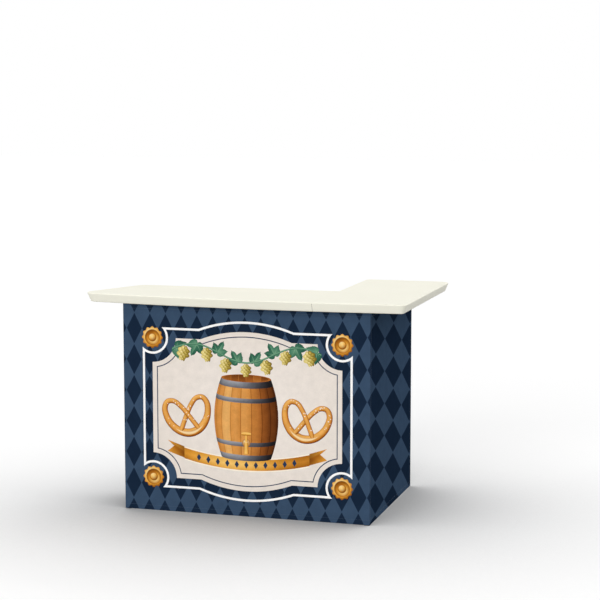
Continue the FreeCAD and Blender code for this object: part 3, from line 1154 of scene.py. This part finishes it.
def hem(name, runs):
    """Folded hem inside the lower edge."""
    heights = (hem_z, hem_z + hem_height)
    return strip(name, runs, heights, -cloth_thickness, hem_thickness, ("bare_cloth",))


def tube_faces(base, around, rings):
    """Faces of a closed tube, whose points go round it ring by ring."""
    last = base + (rings - 1) * around
    faces = []
    for start in range(base, last, around):
        for place in range(around):
            a, b = start + place, start + (place + 1) % around
            faces.append((a, b, b + around, a + around))
    return faces + [tuple(range(base + around - 1, base - 1, -1)), tuple(range(last, last + around))]


def stitch(points, faces, place, along, outward):
    """One stitch: a low three-sided grain that lies on the cloth."""
    base = len(points)
    across = along.cross(outward)
    for station, width, height in stitch_stations:
        middle = place + along * stitch_half_length * station
        half = across * stitch_half_width * width
        points += [middle - half, middle + outward * stitch_height * height, middle + half]
    faces += tube_faces(base, 3, len(stitch_stations))


def stitching(name, start, end, upright_rows):
    """Level rows of stitches along a cloth, and upright ones at given runs."""
    points, faces = [], []
    for z in level_rows:
        for run in steps(start + stitch_from_edge, end - stitch_from_edge, stitch_pitch):
            place, outward = cloth_point(run, z)
            stitch(points, faces, place, Vector((-outward.y, outward.x, 0)), outward)
    for run in upright_rows:
        for z in steps(hem_z + stitch_from_edge, top_z - stitch_from_edge, stitch_pitch):
            place, outward = cloth_point(run, z)
            stitch(points, faces, place, Vector((0, 0, 1)), outward)
    piece = add_piece(name, points, faces, ("thread",))
    return piece


def add_front_skirt():
    """Front cloth, held by the hook tape of the fixed frame."""
    cloth = front_cloth()
    lining = hem("skirt_front_hem", strip_runs(-half_run, half_run))
    edge = half_run - seam_margin
    sewing = stitching("skirt_front_stitching", -half_run, half_run, (-edge, edge))
    for piece in (cloth, lining, sewing):
        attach(piece, "frame")
    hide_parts("skirt_front")


def add_side_skirt(side, sign):
    """Side cloth from the front corner to the rear stile, with close runs where the side frame folds."""
    node = "skirt_" + side
    inner = half_run + seam_gap
    outer = run_at(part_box(node)[1].y) - cloth_inset
    start, end = sorted((sign * inner, sign * outer))
    runs = strip_runs(start, end)
    cloth = strip(node + "_cloth", runs, steps(hem_z, top_z, row_pitch), 0.0, cloth_thickness,
                  ("lozenge_cloth", "bare_cloth"))
    lining = hem(node + "_hem", runs)
    uprights = (sign * (inner + seam_margin), *(sign * (outer - margin) for margin in rear_margins))
    sewing = stitching(node + "_stitching", start, end, uprights)
    hinge = Vector(joints[side + "_fold"]["pos_m"])
    for piece in (cloth, lining, sewing):
        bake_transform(piece)
    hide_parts(node)


# Details of the tube frame

def weld_bead(points, faces, corner, along, inward, outward):
    """Rippled bead in the corner between a rail and a post."""
    base = len(points)
    for step, share in enumerate(shares(bead_steps)):
        taper = max(sqrt(1 - (2 * share - 1) ** bead_blunt), bead_least)
        ripples = 1 + bead_ripple * sin(2 * pi * step / ripple_steps)
        middle = corner + along * share
        points.append(middle)
        for turn in shares(bead_spokes - 1):
            angle = pi / 2 * turn
            spoke = inward * cos(angle) + outward * sin(angle)
            points.append(middle + spoke * bead_radius * taper * ripples)
    faces += tube_faces(base, bead_spokes + 1, bead_steps + 1)


def rail_welds(points, faces, rail):
    """Beads at both ends of a rail, along its lower edge and, unless it is a top rail, its upper edge."""
    low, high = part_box(rail)
    size = high - low
    ways = (Vector((1, 0, 0)), Vector((0, 1, 0)))
    run, across = ways if size.x > size.y else reversed(ways)
    width = across * size.dot(across)
    edges = ((0, -1),) if "top" in rail else ((0, -1), (size.z, 1))
    for end, inward in ((low, run), (low + run * size.dot(run), -run)):
        for rise, upright in edges:
            corner = end + width * bead_margin + Vector((0, 0, rise))
            weld_bead(points, faces, corner, width * (1 - 2 * bead_margin), inward, Vector((0, 0, upright)))


def add_welds():
    """Beads of the fixed frame and of both side frames."""
    for body in ("frame", "right_side", "left_side"):
        points, faces = [], []
        for node in frame["record"]["behaviour"]["bodies"][body]:
            if node.endswith("_rail"):
                rail_welds(points, faces, node)
        piece = add_piece(body + "_welds", points, faces, ("frame_tube",))
        piece.data.polygons.foreach_set("use_smooth", [True] * len(faces))
        piece.data.set_sharp_from_angle(angle=radians(bead_crease))
        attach(piece, body)


dress_solids()
make_camera()
make_sky()
make_lamps()
make_floor()
add_front_skirt()
add_side_skirt("right", 1)
add_side_skirt("left", -1)
add_welds()
bpy.context.scene.view_settings.view_transform = "Standard"
